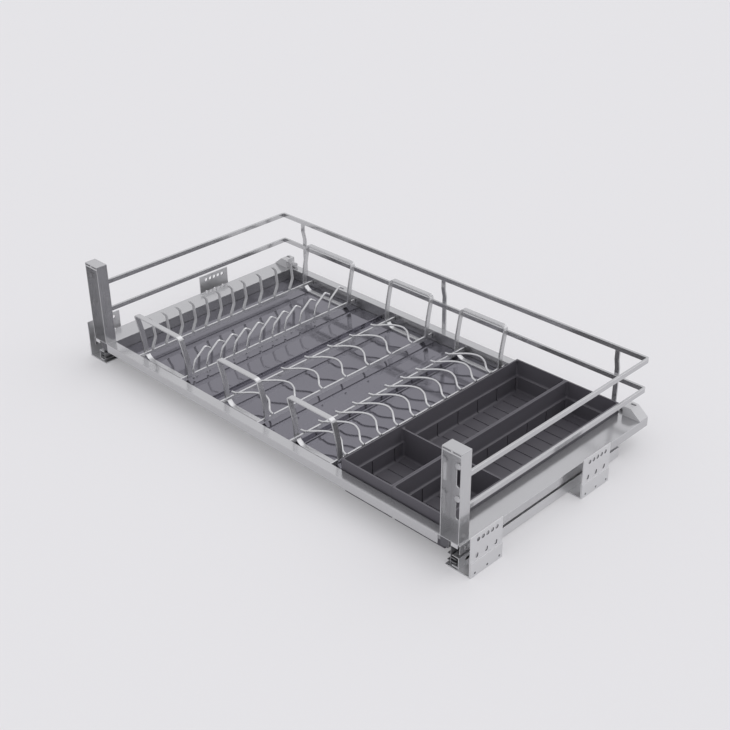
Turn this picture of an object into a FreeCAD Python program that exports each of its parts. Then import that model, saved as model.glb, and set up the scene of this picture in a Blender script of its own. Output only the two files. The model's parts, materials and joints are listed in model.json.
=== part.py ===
import FreeCAD, Part
import math
import os

import Sketcher

# Pull-out dish rack for a wide kitchen base unit, in millimetres, +Z up. The origin is the bottom
# centre of the closed rack: +X runs to the right-hand cabinet wall, the drawer opens towards -Y.
# A folded steel tray hangs on two telescopic slides. It carries two front posts, a two-rail gallery,
# a drip tray with three lift-out racks and two cutlery trays.

Vector = FreeCAD.Vector
doc = FreeCAD.newDocument("PullOutDishRack")
sheet = doc.addObject("Spreadsheet::Sheet", "Sizes")

# The driving dimensions: name, value and what it is.
DRIVING_SIZES = [
    # The tray and its folded flanges.
    ("tray_depth", 435.2, "front face of the front profile to the rear edge of the tray"),
    ("tray_width", 826.0, "across the outer lips of the two side profiles"),
    ("lip_clearance", 4.6, "cabinet rail's web to the outer face of a side profile's lip"),
    ("flange_top", 43.0, "height of the flange above the cabinet floor"),
    ("sheet_gauge", 1.0, "steel sheet of the tray and its profiles"),
    ("front_ledge_depth", 16.5, "flat top of the front profile, front to back"),
    ("front_profile_overhang", 2.0, "pan's side wall to the front profile's end"),
    ("rear_ledge_depth", 16.2, "flat top of the rear profile, front to back"),
    ("front_lip_height", 15.0, "height of the front profile's face"),
    ("side_lip_height", 14.5, "height of the side and rear lips"),
    ("pan_depth", 22.0, "flange top to the underside of the pan floor"),
    # The posts at the front corners.
    ("post_inset", 4.5, "pan's side wall to the inner wall of a post"),
    ("post_width", 33.2, "outside width of a post"),
    ("post_depth", 19.9, "outside depth of a post"),
    ("post_height", 141.3, "flange top to the top of the cap"),
    ("post_setback", 1.0, "front profile's face to the post's front edge"),
    ("post_wall", 1.2, "sheet of the post"),
    ("cap_slit_height", 2.4, "open slit between the cap plate and its front lip"),
    ("cap_lip_height", 2.6, "front lip of the cap"),
    ("cap_tab_width", 3.0, "tab that joins the lip to the cap plate"),
    ("keyhole_width", 7.0, "width of the slots in the post's back wall"),
    ("keyhole_length", 37.0, "height of the slots in the post's back wall"),
    ("keyhole_first", 21.5, "flange top to the lower end of the lower slot"),
    ("keyhole_pitch", 51.0, "height from slot to slot"),
    ("keyhole_inset", 13.5, "post's inner wall to the middle of the slots"),
    ("hook_head_diameter", 9.5, "head of the panel hook in a slot"),
    ("hook_head_thickness", 1.6, "thickness of the head and of its nut"),
    ("hook_shank_diameter", 6.0, "shank that passes through the slot"),
    # The gallery rails and their supports.
    ("rail_thickness", 4.0, "flat bar of the rails"),
    ("rail_height", 8.0, "height of the flat bar"),
    ("rail_inset", 6.1, "post's outer wall to a rail's outer face"),
    ("upper_rail_rise", 100.9, "flange top to the upper rail's top edge"),
    ("lower_rail_rise", 49.8, "flange top to the lower rail's top edge"),
    ("rail_bend_radius", 1.5, "inner radius of the rear corners"),
    ("support_width", 8.0, "width of the rear support strips"),
    ("support_thickness", 3.0, "thickness of the rear support strips"),
    ("support_inset", 54.6, "rail's outer face to the middle of an outer support"),
    ("support_joggle_height", 16.0, "height over which a support bends outwards"),
    ("support_joggle_drop", 16.0, "upper rail's underside to the top of the bend"),
    # The hook blocks at the tray's rear corners.
    ("block_inset", 7.5, "pan's side wall to the block's upright side"),
    ("block_width", 31.9, "width of a rear hook block"),
    ("block_depth", 20.7, "depth of a rear hook block"),
    ("block_height", 15.7, "height of its flat top"),
    ("block_top_width", 13.8, "width of its flat top"),
    ("block_toe_height", 1.0, "height at the outer end of its slope"),
    ("block_pocket_width", 9.0, "width of the latch pocket in its ridge"),
    ("block_pocket_depth", 5.0, "depth, front to back, of the latch pocket"),
    ("block_pocket_rear", 4.0, "block's rear face to the latch pocket"),
    ("block_pocket_floor", 4.0, "height of the latch pocket's floor"),
    ("lug_diameter", 9.0, "round lug on the block's upright side"),
    ("lug_length", 12.0, "how far the lug stands out over the pan"),
    ("lug_rear", 7.0, "block's rear face to the middle of the lug"),
    # The wall brackets.
    ("rail_to_wall", 23.6, "cabinet rail's web to the cabinet wall"),
    ("bracket_depth", 65.0, "front to back"),
    ("bracket_height", 65.0, "height of a wall bracket"),
    ("bracket_gauge", 1.5, "sheet of the brackets"),
    ("bracket_overlap", 23.5, "height of the foot angle's upright leg"),
    ("bracket_foot_overhang", 8.6, "cabinet rail's open side to the end of the foot"),
    ("front_bracket_setback", 1.3, "front profile's face to the front brackets"),
    ("rear_bracket_setback", 244.6, "front profile's face to the rear brackets"),
    ("bracket_hole_diameter", 6.4, "screw holes along the top"),
    ("bracket_hole_first", 15.3, "bracket's front edge to the first hole"),
    ("bracket_hole_pitch", 9.3, "hole to hole"),
    ("bracket_hole_drop", 9.0, "bracket's top edge to the holes"),
    ("bracket_slot_width", 4.8, "adjusting slots"),
    ("bracket_slot_length", 7.0, "height of an adjusting slot"),
    ("bracket_slot_lean", 1.2, "how far a slot's top leans back"),
    ("bracket_slot_first", 13.6, "bracket's front edge to the first slot"),
    ("bracket_slot_pitch", 19.25, "slot to slot"),
    ("bracket_slot_drop", 34.0, "bracket's top edge to the middle of the slots"),
    ("rivet_diameter", 3.5, "flush rivets through the foot angle"),
    ("rivet_clearance", 0.05, "radial clearance of a rivet in its hole"),
    ("rivet_first", 9.0, "bracket's front edge to the first rivet"),
    ("rivet_pitch", 25.0, "rivet to rivet"),
    ("rivet_height", 5.0, "bottom of the bracket to the rivets"),
    # The telescopic slides, from the cabinet wall inwards.
    ("slide_length", 365.0, "length of each slide member"),
    ("slide_setback", 5.0, "front profile's face to the slide members"),
    ("slide_gauge", 1.2, "sheet of the slide members"),
    ("cabinet_rail_width", 11.8, "width of the cabinet rail"),
    ("cabinet_rail_height", 16.8, "height of the cabinet rail"),
    ("cabinet_slot_length", 15.0, "slot in the cabinet rail's web"),
    ("cabinet_slot_height", 5.0, "height of that slot"),
    ("cabinet_slot_setback", 14.0, "rail's front end to the slot"),
    ("drawer_rail_inset", 5.0, "pan's side wall to the drawer rail's web"),
    ("drawer_rail_width", 14.0, "width of the drawer rail"),
    ("drawer_rail_height", 14.0, "height of the drawer rail"),
    ("middle_web_gap", 1.7, "middle rail's web to the open side of each outer rail"),
    ("middle_curl_width", 5.0, "curled lips on the middle rail's inner side"),
    ("ball_diameter", 3.0, "balls in the slides"),
    ("ball_clearance", 0.3, "ball to race"),
    ("race_end_gap", 3.2, "race edge to the opposite web, where the cage passes"),
    ("cage_gauge", 1.0, "thickness of the ball cages"),
    ("cage_length", 170.0, "length of a ball cage"),
    ("cage_setback", 95.0, "front profile's face to the ball cages"),
    ("cage_width", 6.0, "width of a cage's ball strip"),
    # The clips and screws at the front.
    ("clip_inset", 4.0, "outer face of a side profile's lip to a front clip"),
    ("clip_width", 12.0, "width of a front clip"),
    ("clip_depth", 2.5, "thickness of a front clip's plate"),
    ("clip_drop", 6.0, "height of a front clip's plate"),
    ("clip_lever_length", 46.0, "release lever behind the plate"),
    ("clip_lever_height", 3.0, "height of the release lever"),
    ("lip_screw_diameter", 4.0, "heads of the screws in the side lips"),
    ("lip_screw_height", 0.8, "how far a head stands out"),
    ("lip_screw_first", 11.5, "front profile's face to the first screw"),
    ("lip_screw_pitch", 7.2, "screw to screw"),
    ("lip_screw_drop", 8.0, "flange top to the screws"),
    # The drip tray.
    ("drip_gauge", 1.5, "thickness of the drip tray"),
    ("drip_end_gap", 1.0, "drip tray to the pan walls"),
    ("drip_side_gap", 3.8, "drip tray's right edge to the left cutlery tray"),
    ("drip_rib_width", 2.0, "ribs along the drip tray"),
    ("drip_rib_height", 5.0, "height of the ribs"),
    ("left_rib_offset", 78.1, "middle of the bowl rack to the left rib"),
    ("right_rib_offset", 46.4, "middle of the cup rack to the right rib"),
    ("drip_bead_offset", 29.0, "right rib to the left low bead"),
    ("drip_bead_pitch", 9.0, "bead to bead"),
    ("drip_bead_width", 1.2, "width of a low bead"),
    ("drip_bead_height", 0.6, "height of a low bead"),
    # The three racks.
    ("rod_thickness", 3.0, "flat rods of the racks"),
    ("rod_height", 8.0, "height of a rod"),
    ("rod_top", 38.0, "height of the rods' top edges"),
    ("rod_front_gap", 4.5, "pan's front wall to the rods"),
    ("rod_rear_gap", 1.0, "rods to the pan's rear wall"),
    ("handle_width", 9.0, "flat strip of the handle loops"),
    ("handle_gauge", 3.0, "thickness of that strip"),
    ("handle_top", 113.0, "height of the loops"),
    ("handle_knee", 58.0, "middle of the bend where a loop leans outwards"),
    ("handle_knee_radius", 200.0, "radius of that bend"),
    ("handle_lean", 12.0, "how far the top leans outwards"),
    ("handle_inset", 17.0, "rod end to the middle of a loop's strip"),
    ("handle_foot_radius", 20.0, "outer radius of a loop's lower corners"),
    ("handle_top_radius", 8.0, "outer radius of a loop's upper corners"),
    ("plate_rack_span", 112.4, "rod to rod in the plate rack"),
    ("bowl_rack_span", 88.0, "rod to rod in the bowl rack"),
    ("cup_rack_span", 87.4, "rod to rod in the cup rack"),
    ("weld_gap", 0.1, "wire to rod at a weld"),
    # The fingers of the plate rack.
    ("finger_width", 5.0, "flat fingers on the left rod"),
    ("finger_gauge", 2.5, "thickness of a flat finger"),
    ("finger_foot", 3.0, "upright foot of a flat finger"),
    ("finger_knee_rise", 20.5, "rod's top edge to a flat finger's knee"),
    ("finger_knee_reach", 8.0, "how far the knee stands to the rear"),
    ("finger_neck_rise", 51.0, "rod's top edge to a flat finger's neck"),
    ("finger_neck_reach", 5.0, "how far the neck stands to the rear"),
    ("finger_rise", 60.0, "height of a flat finger above its rod"),
    ("finger_tip_reach", -3.0, "how far the tip stands to the rear"),
    ("finger_first", 28.7, "rod's front end to the first flat finger"),
    ("finger_pitch", 28.6, "flat finger to flat finger"),
    ("wide_finger_pitch", 37.0, "pitch of the last flat fingers"),
    ("prong_diameter", 4.0, "wire prongs on the right rod"),
    ("prong_foot", 4.0, "upright foot of a prong"),
    ("prong_knee_rise", 21.0, "rod's top edge to a prong's knee"),
    ("prong_knee_reach", 5.5, "how far the knee stands to the rear"),
    ("prong_rise", 38.0, "rod's top edge to a prong's upper bend"),
    ("prong_bend_reach", 27.5, "how far the upper bend stands to the rear"),
    ("prong_reach", 37.5, "how far a prong's tip stands to the rear"),
    ("prong_tip_drop", 7.0, "upper bend to the prong's tip"),
    ("prong_stub", 3.5, "end of a prong below its rod"),
    ("prong_first", 26.7, "rod's front end to the first prong"),
    ("prong_pitch", 28.6, "prong to prong"),
    ("wide_prong_pitch", 35.0, "pitch of the last prongs"),
    # The S-shaped wires of the bowl and cup racks.
    ("wire_diameter", 3.5, "curved wires"),
    ("wire_crown", 5.3, "how far a wire rises above its welds"),
    ("wire_bow", 22.5, "how far a wire bows to the rear"),
    ("wire_overhang", 7.5, "wire's left tip past the left rod"),
    ("wire_tip_overhang", 3.0, "wire's right tip past the right rod"),
    ("wire_tip_droop", 0.9, "wire's left tip below its weld"),
    ("wire_first", 30.5, "rod's front end to the first wire"),
    ("bowl_wire_pitch", 52.4, "wire to wire in the bowl rack"),
    ("cup_wire_pitch", 36.4, "wire to wire in the cup rack"),
    # The cutlery trays.
    ("cutlery_width", 98.2, "outside width of a cutlery tray"),
    ("cutlery_height", 38.0, "pan floor to the top of a cutlery tray"),
    ("cutlery_hang", 18.0, "pan floor to the underside of a cutlery tray"),
    ("cutlery_wall", 2.0, "walls and floor"),
    ("cutlery_side_gap", 0.4, "cutlery tray to its neighbour and to the pan wall"),
    ("cutlery_front_gap", 2.1, "pan's front wall to a cutlery tray"),
    ("cutlery_rear_gap", 3.0, "cutlery tray to the pan's rear wall"),
    ("cutlery_step_width", 3.0, "ledge inside the walls, and step outside them"),
    ("cutlery_step_drop", 29.0, "top edge to the inner ledge"),
    ("cutlery_opening_gap", 0.6, "cutlery trays to the edge of the pan's opening"),
    ("divider_setback", 123.9, "outside front of a cutlery tray to the cross wall"),
    ("divider_thickness", 3.0, "cross wall"),
    ("divider_drop", 6.5, "top edge of the tray to the top of the cross wall"),
]

# How many of each repeated feature there are.
BRACKET_HOLE_COUNT = 5
BRACKET_SLOT_COUNT = 3
RIVET_COUNT = 3
LIP_SCREW_COUNT = 2
KEYHOLE_COUNT = 2
CLOSE_FINGER_COUNT = 8
WIDE_FINGER_COUNT = 3
BOWL_WIRE_COUNT = 7
CUP_WIRE_COUNT = 10
ROW_BALL_COUNT = 4
SIDES = {"left": -1, "right": 1}

# Where the middle of each rack stands, across the space left of the cutlery trays.
PLATE_RACK_SHARE = 0.2126
BOWL_RACK_SHARE = 0.5791
CUP_RACK_SHARE = 0.8723

# Proportions of rounded ends and bends.
SLOT_END_SHARE = 0.98
LEANING_SLOT_END_SHARE = 0.8
ROUND_BEND_SHARE = 0.45
KINKED_BEND_SHARE = 0.22


class Size:
    """A length: its value, and the formula that ties it to the sheet."""

    def __init__(self, value, formula):
        self.value = float(value)
        self.formula = formula

    def join(self, other, sign, value):
        return Size(value, f"({self.formula} {sign} {as_size(other).formula})")

    def __add__(self, other):
        return self.join(other, "+", self.value + as_size(other).value)

    def __sub__(self, other):
        return self.join(other, "-", self.value - as_size(other).value)

    def __mul__(self, other):
        return self.join(other, "*", self.value * as_size(other).value)

    def __truediv__(self, other):
        return self.join(other, "/", self.value / as_size(other).value)

    def __neg__(self):
        return as_size(-1) * self


def as_size(number):
    """A plain number as a Size, so that both can stand in one formula."""
    if isinstance(number, Size):
        return number
    return Size(number, repr(float(number)))


class Dimensions:
    """The sheet's cells as attributes, such as size.tray_depth."""

    def __init__(self, rows):
        for row, (name, value, meaning) in enumerate(rows, start=1):
            sheet.set(f"A{row}", name)
            sheet.set(f"B{row}", str(value))
            sheet.set(f"C{row}", meaning)
            sheet.setAlias(f"B{row}", name)
            setattr(self, name, Size(sheet.getContents(f"B{row}"), f"Sizes.{name}"))


size = Dimensions(DRIVING_SIZES)
nodes = []

# Places that several pieces share. Depths are counted from the front face of the front profile.
OVERALL_DEPTH = size.tray_depth + size.support_thickness
FRONT = -OVERALL_DEPTH / 2
REAR = FRONT + size.tray_depth
FLANGE_UNDERSIDE = size.flange_top - size.sheet_gauge
PAN_UNDERSIDE = size.flange_top - size.pan_depth
PAN_FLOOR = PAN_UNDERSIDE + size.sheet_gauge
TRAY_EDGE = size.tray_width / 2
CABINET_RAIL_OUTER = TRAY_EDGE - size.lip_clearance
SLIDE_WIDTH = (
    size.cabinet_rail_width + size.drawer_rail_width + size.slide_gauge + size.middle_web_gap * 2
)
DRAWER_RAIL_INNER = CABINET_RAIL_OUTER - SLIDE_WIDTH
PAN_HALF_WIDTH = DRAWER_RAIL_INNER - size.drawer_rail_inset
WALL_PLANE = CABINET_RAIL_OUTER + size.rail_to_wall
PAN_FRONT = FRONT + size.front_ledge_depth
PAN_REAR = REAR - size.rear_ledge_depth
POST_FRONT = FRONT + size.post_setback
POST_REAR = POST_FRONT + size.post_depth
POST_INNER_EDGE = PAN_HALF_WIDTH + size.post_inset
POST_OUTER_EDGE = POST_INNER_EDGE + size.post_width
RAIL_HALF_SPAN = POST_OUTER_EDGE - size.rail_inset
DRIP_FLOOR = PAN_FLOOR + size.drip_gauge
ROD_FRONT = PAN_FRONT + size.rod_front_gap
ROD_REAR = PAN_REAR - size.rod_rear_gap
CUTLERY_FRONT = PAN_FRONT + size.cutlery_front_gap
CUTLERY_REAR = PAN_REAR - size.cutlery_rear_gap
CUTLERY_RIGHT = PAN_HALF_WIDTH - size.cutlery_side_gap
CUTLERY_LEFT = PAN_HALF_WIDTH - (size.cutlery_width + size.cutlery_side_gap) * 2
RACK_SPACE = PAN_HALF_WIDTH + CUTLERY_LEFT
RACK_CENTRES = {
    "plate_rack": -PAN_HALF_WIDTH + RACK_SPACE * PLATE_RACK_SHARE,
    "bowl_rack": -PAN_HALF_WIDTH + RACK_SPACE * BOWL_RACK_SHARE,
    "cup_rack": -PAN_HALF_WIDTH + RACK_SPACE * CUP_RACK_SHARE,
}


def low_high(first, second):
    """Two Sizes in rising order, so that a left-hand piece can be written as its right-hand twin."""
    if first.value <= second.value:
        return first, second
    return second, first


def mirrored(side, near, far):
    """The X range of a piece between two distances from the centre plane, on one side."""
    return low_high(near * side, far * side)


def finish(node, name):
    """Names a sub-part and puts it on the list of pieces to write."""
    node.Label = name
    nodes.append(node)
    return node


def box(name, x_range, y_range, z_range):
    """A Part::Box between three pairs of Sizes."""
    block = doc.addObject("Part::Box", name)
    for side, axis, (low, high) in zip(
        ("Length", "Width", "Height"), "xyz", (x_range, y_range, z_range)
    ):
        block.setExpression(side, (as_size(high) - low).formula)
        block.setExpression(f"Placement.Base.{axis}", as_size(low).formula)
    return block


def fused(name, pieces):
    """One solid from several touching ones."""
    fusion = doc.addObject("Part::MultiFuse", name)
    fusion.Shapes = pieces
    fusion.Refine = True
    return fusion


def cut(name, base, tools):
    """The base without the tools."""
    tool = tools[0] if len(tools) == 1 else fused(name + "_tools", tools)
    result = doc.addObject("Part::Cut", name)
    result.Base = base
    result.Tool = tool
    return result


def grouped(name, pieces):
    """Separate solids that are one sub-part, such as a row of screws."""
    group = doc.addObject("Part::Compound", name)
    group.Links = pieces
    return group


def rod_along(name, axis, centre, diameter, low, high):
    """A Part::Cylinder along Y or X from low to high, centred on the two other coordinates."""
    cylinder = doc.addObject("Part::Cylinder", name)
    cylinder.setExpression("Radius", (diameter / 2).formula)
    cylinder.setExpression("Height", (as_size(high) - low).formula)
    turn = {"x": (Vector(0, 1, 0), 90), "y": (Vector(1, 0, 0), -90)}[axis]
    cylinder.Placement = FreeCAD.Placement(Vector(), FreeCAD.Rotation(*turn))
    places = dict(zip([other for other in "xyz" if other != axis], centre))
    places[axis] = low
    for direction, place in places.items():
        cylinder.setExpression(f"Placement.Base.{direction}", as_size(place).formula)
    return cylinder


def pin_distance(sketch, geometry, point, corner):
    """Ties one sketch point to the sketch's origin by two Sizes."""
    for direction, distance in zip(("DistanceX", "DistanceY"), corner):
        constraint = Sketcher.Constraint(direction, -1, 1, geometry, point, distance.value)
        index = sketch.addConstraint(constraint)
        sketch.setExpression(f"Constraints[{index}]", distance.formula)


def corner_arc(before, corner, after, radius):
    """Where an arc of this radius leaves both lines at a corner, its centre, and its turn."""
    to_before = (before - corner).normalize()
    to_after = (after - corner).normalize()
    half_turn = (math.pi - to_before.getAngle(to_after)) / 2
    setback = radius * math.tan(half_turn)
    middle = (to_before + to_after).normalize()
    centre = corner + middle * (radius / math.cos(half_turn))
    left_turn = (corner - before).cross(after - corner).z > 0
    return corner + to_before * setback, corner + to_after * setback, centre, left_turn


def draw_loop(sketch, corners):
    """A closed outline: each corner is (u, v), or (u, v, radius) for a round one."""
    corners = [tuple(as_size(number) for number in corner) for corner in corners]
    spots = [Vector(corner[0].value, corner[1].value, 0) for corner in corners]
    count = len(corners)
    leaving = []
    arriving = []
    arcs = []
    for index, corner in enumerate(corners):
        if len(corner) == 2:
            arriving.append(spots[index])
            leaving.append(spots[index])
            arcs.append(None)
            continue
        neighbours = spots[index - 1], spots[index], spots[(index + 1) % count]
        start, end, centre, left_turn = corner_arc(*neighbours, corner[2].value)
        arriving.append(start)
        leaving.append(end)
        first, last = (start, end) if left_turn else (end, start)
        angles = [math.atan2(spot.y - centre.y, spot.x - centre.x) for spot in (first, last)]
        circle = Part.Circle(centre, Vector(0, 0, 1), corner[2].value)
        arc = sketch.addGeometry(Part.ArcOfCircle(circle, *angles), False)
        arcs.append((arc, 1 if left_turn else 2, 2 if left_turn else 1))
    lines = []
    for index in range(count):
        segment = Part.LineSegment(leaving[index], arriving[(index + 1) % count])
        lines.append(sketch.addGeometry(segment, False))
    for index, corner in enumerate(corners):
        before = lines[index - 1]
        after = lines[index]
        if arcs[index] is None:
            sketch.addConstraint(Sketcher.Constraint("Coincident", before, 2, after, 1))
            pin_distance(sketch, after, 1, corner)
            continue
        arc, arc_start, arc_end = arcs[index]
        sketch.addConstraint(Sketcher.Constraint("Tangent", before, 2, arc, arc_start))
        sketch.addConstraint(Sketcher.Constraint("Tangent", arc, arc_end, after, 1))
        radius = sketch.addConstraint(Sketcher.Constraint("Radius", arc, corner[2].value))
        sketch.setExpression(f"Constraints[{radius}]", corner[2].formula)
        apex = sketch.addGeometry(Part.Point(spots[index]), True)
        sketch.addConstraint(Sketcher.Constraint("PointOnObject", apex, 1, before))
        sketch.addConstraint(Sketcher.Constraint("PointOnObject", apex, 1, after))
        pin_distance(sketch, apex, 1, corner[:2])


def sketch_on(body, plane, name, loops, offset):
    """A sketch on one of the body's own origin planes, moved along the plane's normal."""
    sketch = body.newObject("Sketcher::SketchObject", name)
    support = [face for face in body.Origin.OriginFeatures if face.Role == plane + "_Plane"][0]
    sketch.AttachmentSupport = (support, "")
    sketch.MapMode = "FlatFace"
    sketch.setExpression("AttachmentOffset.Base.z", offset.formula)
    for loop in loops:
        draw_loop(sketch, loop)
    return sketch


def padded(name, plane, loops, low, high):
    """A body padded from outlines: on XY it rises along Z, on XZ along Y, on YZ along X."""
    body = doc.addObject("PartDesign::Body", name)
    # The normal of the XZ plane points to -Y, so that pad starts at the far end.
    offset = -as_size(high) if plane == "XZ" else as_size(low)
    sketch = sketch_on(body, plane, name + "_outline", loops, offset)
    pad = body.newObject("PartDesign::Pad", name + "_pad")
    pad.Profile = sketch
    pad.setExpression("Length", (as_size(high) - low).formula)
    return body


def pierce(body, name, plane, loops):
    """Cuts the outlines through the whole body, both ways from the origin plane."""
    sketch = sketch_on(body, plane, name, loops, as_size(0))
    pocket = body.newObject("PartDesign::Pocket", name + "_cut")
    pocket.Profile = sketch
    pocket.Type = "ThroughAll"
    pocket.Midplane = True
    return body


def rectangle(u_range, v_range, radius=None):
    """The corners of an upright rectangle, square or with one radius."""
    corners = [
        (u_range[0], v_range[0]),
        (u_range[1], v_range[0]),
        (u_range[1], v_range[1]),
        (u_range[0], v_range[1]),
    ]
    if radius is None:
        return corners
    return [corner + (radius,) for corner in corners]


def bend_path(points, share_of_run):
    """A wire through the points: at each, an arc takes this share of the shorter straight run."""
    start = points[0]
    edges = []
    for before, corner, after in zip(points, points[1:], points[2:]):
        to_before = (before - corner).normalize()
        to_after = (after - corner).normalize()
        half_turn = (math.pi - to_before.getAngle(to_after)) / 2
        setback = share_of_run * min((before - corner).Length, (after - corner).Length)
        radius = setback / math.tan(half_turn)
        middle = (to_before + to_after).normalize()
        crown = corner + middle * (radius / math.cos(half_turn) - radius)
        arc_start = corner + to_before * setback
        arc_end = corner + to_after * setback
        edges.append(Part.LineSegment(start, arc_start).toShape())
        edges.append(Part.Arc(arc_start, crown, arc_end).toShape())
        start = arc_end
    edges.append(Part.LineSegment(start, points[-1]).toShape())
    return Part.Wire(edges)


def swept(path, section, flat_axis):
    """A solid along the path. flat_axis, where given, keeps a strip from twisting."""
    shell = Part.BRepOffsetAPI.MakePipeShell(path)
    if flat_axis is not None:
        shell.setBiNormalMode(flat_axis)
    shell.add(section)
    shell.build()
    shell.makeSolid()
    return shell.shape()


def round_wire(points, diameter, share_of_run):
    """A bent wire of round section with flat ends."""
    path = bend_path(points, share_of_run)
    direction = points[1] - points[0]
    section = Part.Wire(Part.makeCircle(diameter / 2, points[0], direction))
    return swept(path, section, None)


def flat_strip(points, width, gauge):
    """A bent strip in a plane of constant X, its width along X."""
    path = bend_path(points, KINKED_BEND_SHARE)
    across = Vector(width / 2, 0, 0)
    direction = (points[1] - points[0]).normalize()
    through = Vector(1, 0, 0).cross(direction) * (gauge / 2)
    start = points[0]
    corners = [start - across - through, start + across - through,
               start + across + through, start - across + through]
    section = Part.makePolygon(corners + corners[:1])
    return swept(path, section, Vector(1, 0, 0))


def row_of_copies(name, shapes, places):
    """A Part::Feature that holds every shape at every place."""
    copies = [shape.translated(place) for place in places for shape in shapes]
    feature = doc.addObject("Part::Feature", name)
    feature.Shape = Part.makeCompound(copies)
    feature.Placement = FreeCAD.Placement()
    return finish(feature, name)


def make_tray_pan():
    """The deep middle of the tray: four wall plates round a floor that is open for cutlery."""
    gauge = size.sheet_gauge
    rise = (PAN_FLOOR, FLANGE_UNDERSIDE)
    full_depth = (PAN_FRONT - gauge, PAN_REAR + gauge)
    rim = size.cutlery_step_width - size.cutlery_opening_gap
    opening_left = CUTLERY_LEFT + rim
    opening_right = CUTLERY_RIGHT - rim
    opening_width = (opening_left, opening_right)
    floor_plates = {
        "left": ((-PAN_HALF_WIDTH - gauge, opening_left), full_depth),
        "right": ((opening_right, PAN_HALF_WIDTH + gauge), full_depth),
        "front": (opening_width, (PAN_FRONT - gauge, CUTLERY_FRONT + rim)),
        "rear": (opening_width, (CUTLERY_REAR - rim, PAN_REAR + gauge)),
    }
    plates = []
    for place_name, (across, along) in floor_plates.items():
        plates.append(box("pan_floor_" + place_name, across, along, (PAN_UNDERSIDE, PAN_FLOOR)))
    for side_name, side in SIDES.items():
        across = mirrored(side, PAN_HALF_WIDTH, PAN_HALF_WIDTH + gauge)
        plates.append(box("pan_wall_" + side_name, across, full_depth, rise))
    walls = {"front": (PAN_FRONT - gauge, PAN_FRONT), "rear": (PAN_REAR, PAN_REAR + gauge)}
    for end_name, thickness in walls.items():
        across = (-PAN_HALF_WIDTH, PAN_HALF_WIDTH)
        plates.append(box("pan_wall_" + end_name, across, thickness, rise))
    finish(grouped("tray_pan", plates), "tray_pan")


def make_front_profile():
    """The folded front edge: a flat top and a tall face."""
    gauge = size.sheet_gauge
    half = PAN_HALF_WIDTH + size.front_profile_overhang
    section = [
        (FRONT, size.flange_top - size.front_lip_height),
        (FRONT + gauge, size.flange_top - size.front_lip_height),
        (FRONT + gauge, FLANGE_UNDERSIDE),
        (PAN_FRONT, FLANGE_UNDERSIDE),
        (PAN_FRONT, size.flange_top),
        (FRONT, size.flange_top),
    ]
    finish(padded("front_profile", "YZ", [section], -half, half), "front_profile")


def make_rear_profile():
    """The folded rear edge between the two side profiles."""
    gauge = size.sheet_gauge
    section = [
        (PAN_REAR, FLANGE_UNDERSIDE),
        (REAR - gauge, FLANGE_UNDERSIDE),
        (REAR - gauge, size.flange_top - size.side_lip_height),
        (REAR, size.flange_top - size.side_lip_height),
        (REAR, size.flange_top),
        (PAN_REAR, size.flange_top),
    ]
    body = padded("rear_profile", "YZ", [section], -PAN_HALF_WIDTH, PAN_HALF_WIDTH)
    finish(body, "rear_profile")


def make_side_profiles():
    """The flange along each side, notched round the front profile, with an outer lip."""
    notch = PAN_HALF_WIDTH + size.front_profile_overhang
    for side_name, side in SIDES.items():
        name = "side_profile_" + side_name
        top_outline = [
            (notch * side, POST_FRONT),
            (TRAY_EDGE * side, POST_FRONT),
            (TRAY_EDGE * side, REAR),
            (PAN_HALF_WIDTH * side, REAR),
            (PAN_HALF_WIDTH * side, PAN_FRONT),
            (notch * side, PAN_FRONT),
        ]
        top = padded(name + "_top", "XY", [top_outline], FLANGE_UNDERSIDE, size.flange_top)
        lip = box(
            name + "_lip",
            mirrored(side, TRAY_EDGE - size.sheet_gauge, TRAY_EDGE),
            (POST_FRONT, REAR),
            (size.flange_top - size.side_lip_height, FLANGE_UNDERSIDE),
        )
        finish(fused(name, [top, lip]), name)


def keyhole_spans():
    """The height range of each slot in a post's back wall."""
    spans = []
    for index in range(KEYHOLE_COUNT):
        low = size.flange_top + size.keyhole_first + size.keyhole_pitch * index
        spans.append((low, low + size.keyhole_length))
    return spans


def make_posts():
    """A channel at each front corner, open to the front, with slots in its back wall."""
    wall = size.post_wall
    inner = POST_INNER_EDGE
    cap_underside = size.flange_top + size.post_height - wall
    for side_name, side in SIDES.items():
        name = "post_" + side_name
        outline = [
            (inner * side, POST_FRONT),
            (inner * side, POST_REAR),
            (POST_OUTER_EDGE * side, POST_REAR),
            (POST_OUTER_EDGE * side, POST_FRONT),
            ((POST_OUTER_EDGE - wall) * side, POST_FRONT),
            ((POST_OUTER_EDGE - wall) * side, POST_REAR - wall),
            ((inner + wall) * side, POST_REAR - wall),
            ((inner + wall) * side, POST_FRONT),
        ]
        body = padded(name, "XY", [outline], size.flange_top, cap_underside)
        middle = inner + size.keyhole_inset
        half = size.keyhole_width / 2
        end_radius = half * SLOT_END_SHARE
        across = mirrored(side, middle - half, middle + half)
        loops = [rectangle(across, span, end_radius) for span in keyhole_spans()]
        pierce(body, name + "_slots", "XZ", loops)
        finish(body, name)


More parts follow.
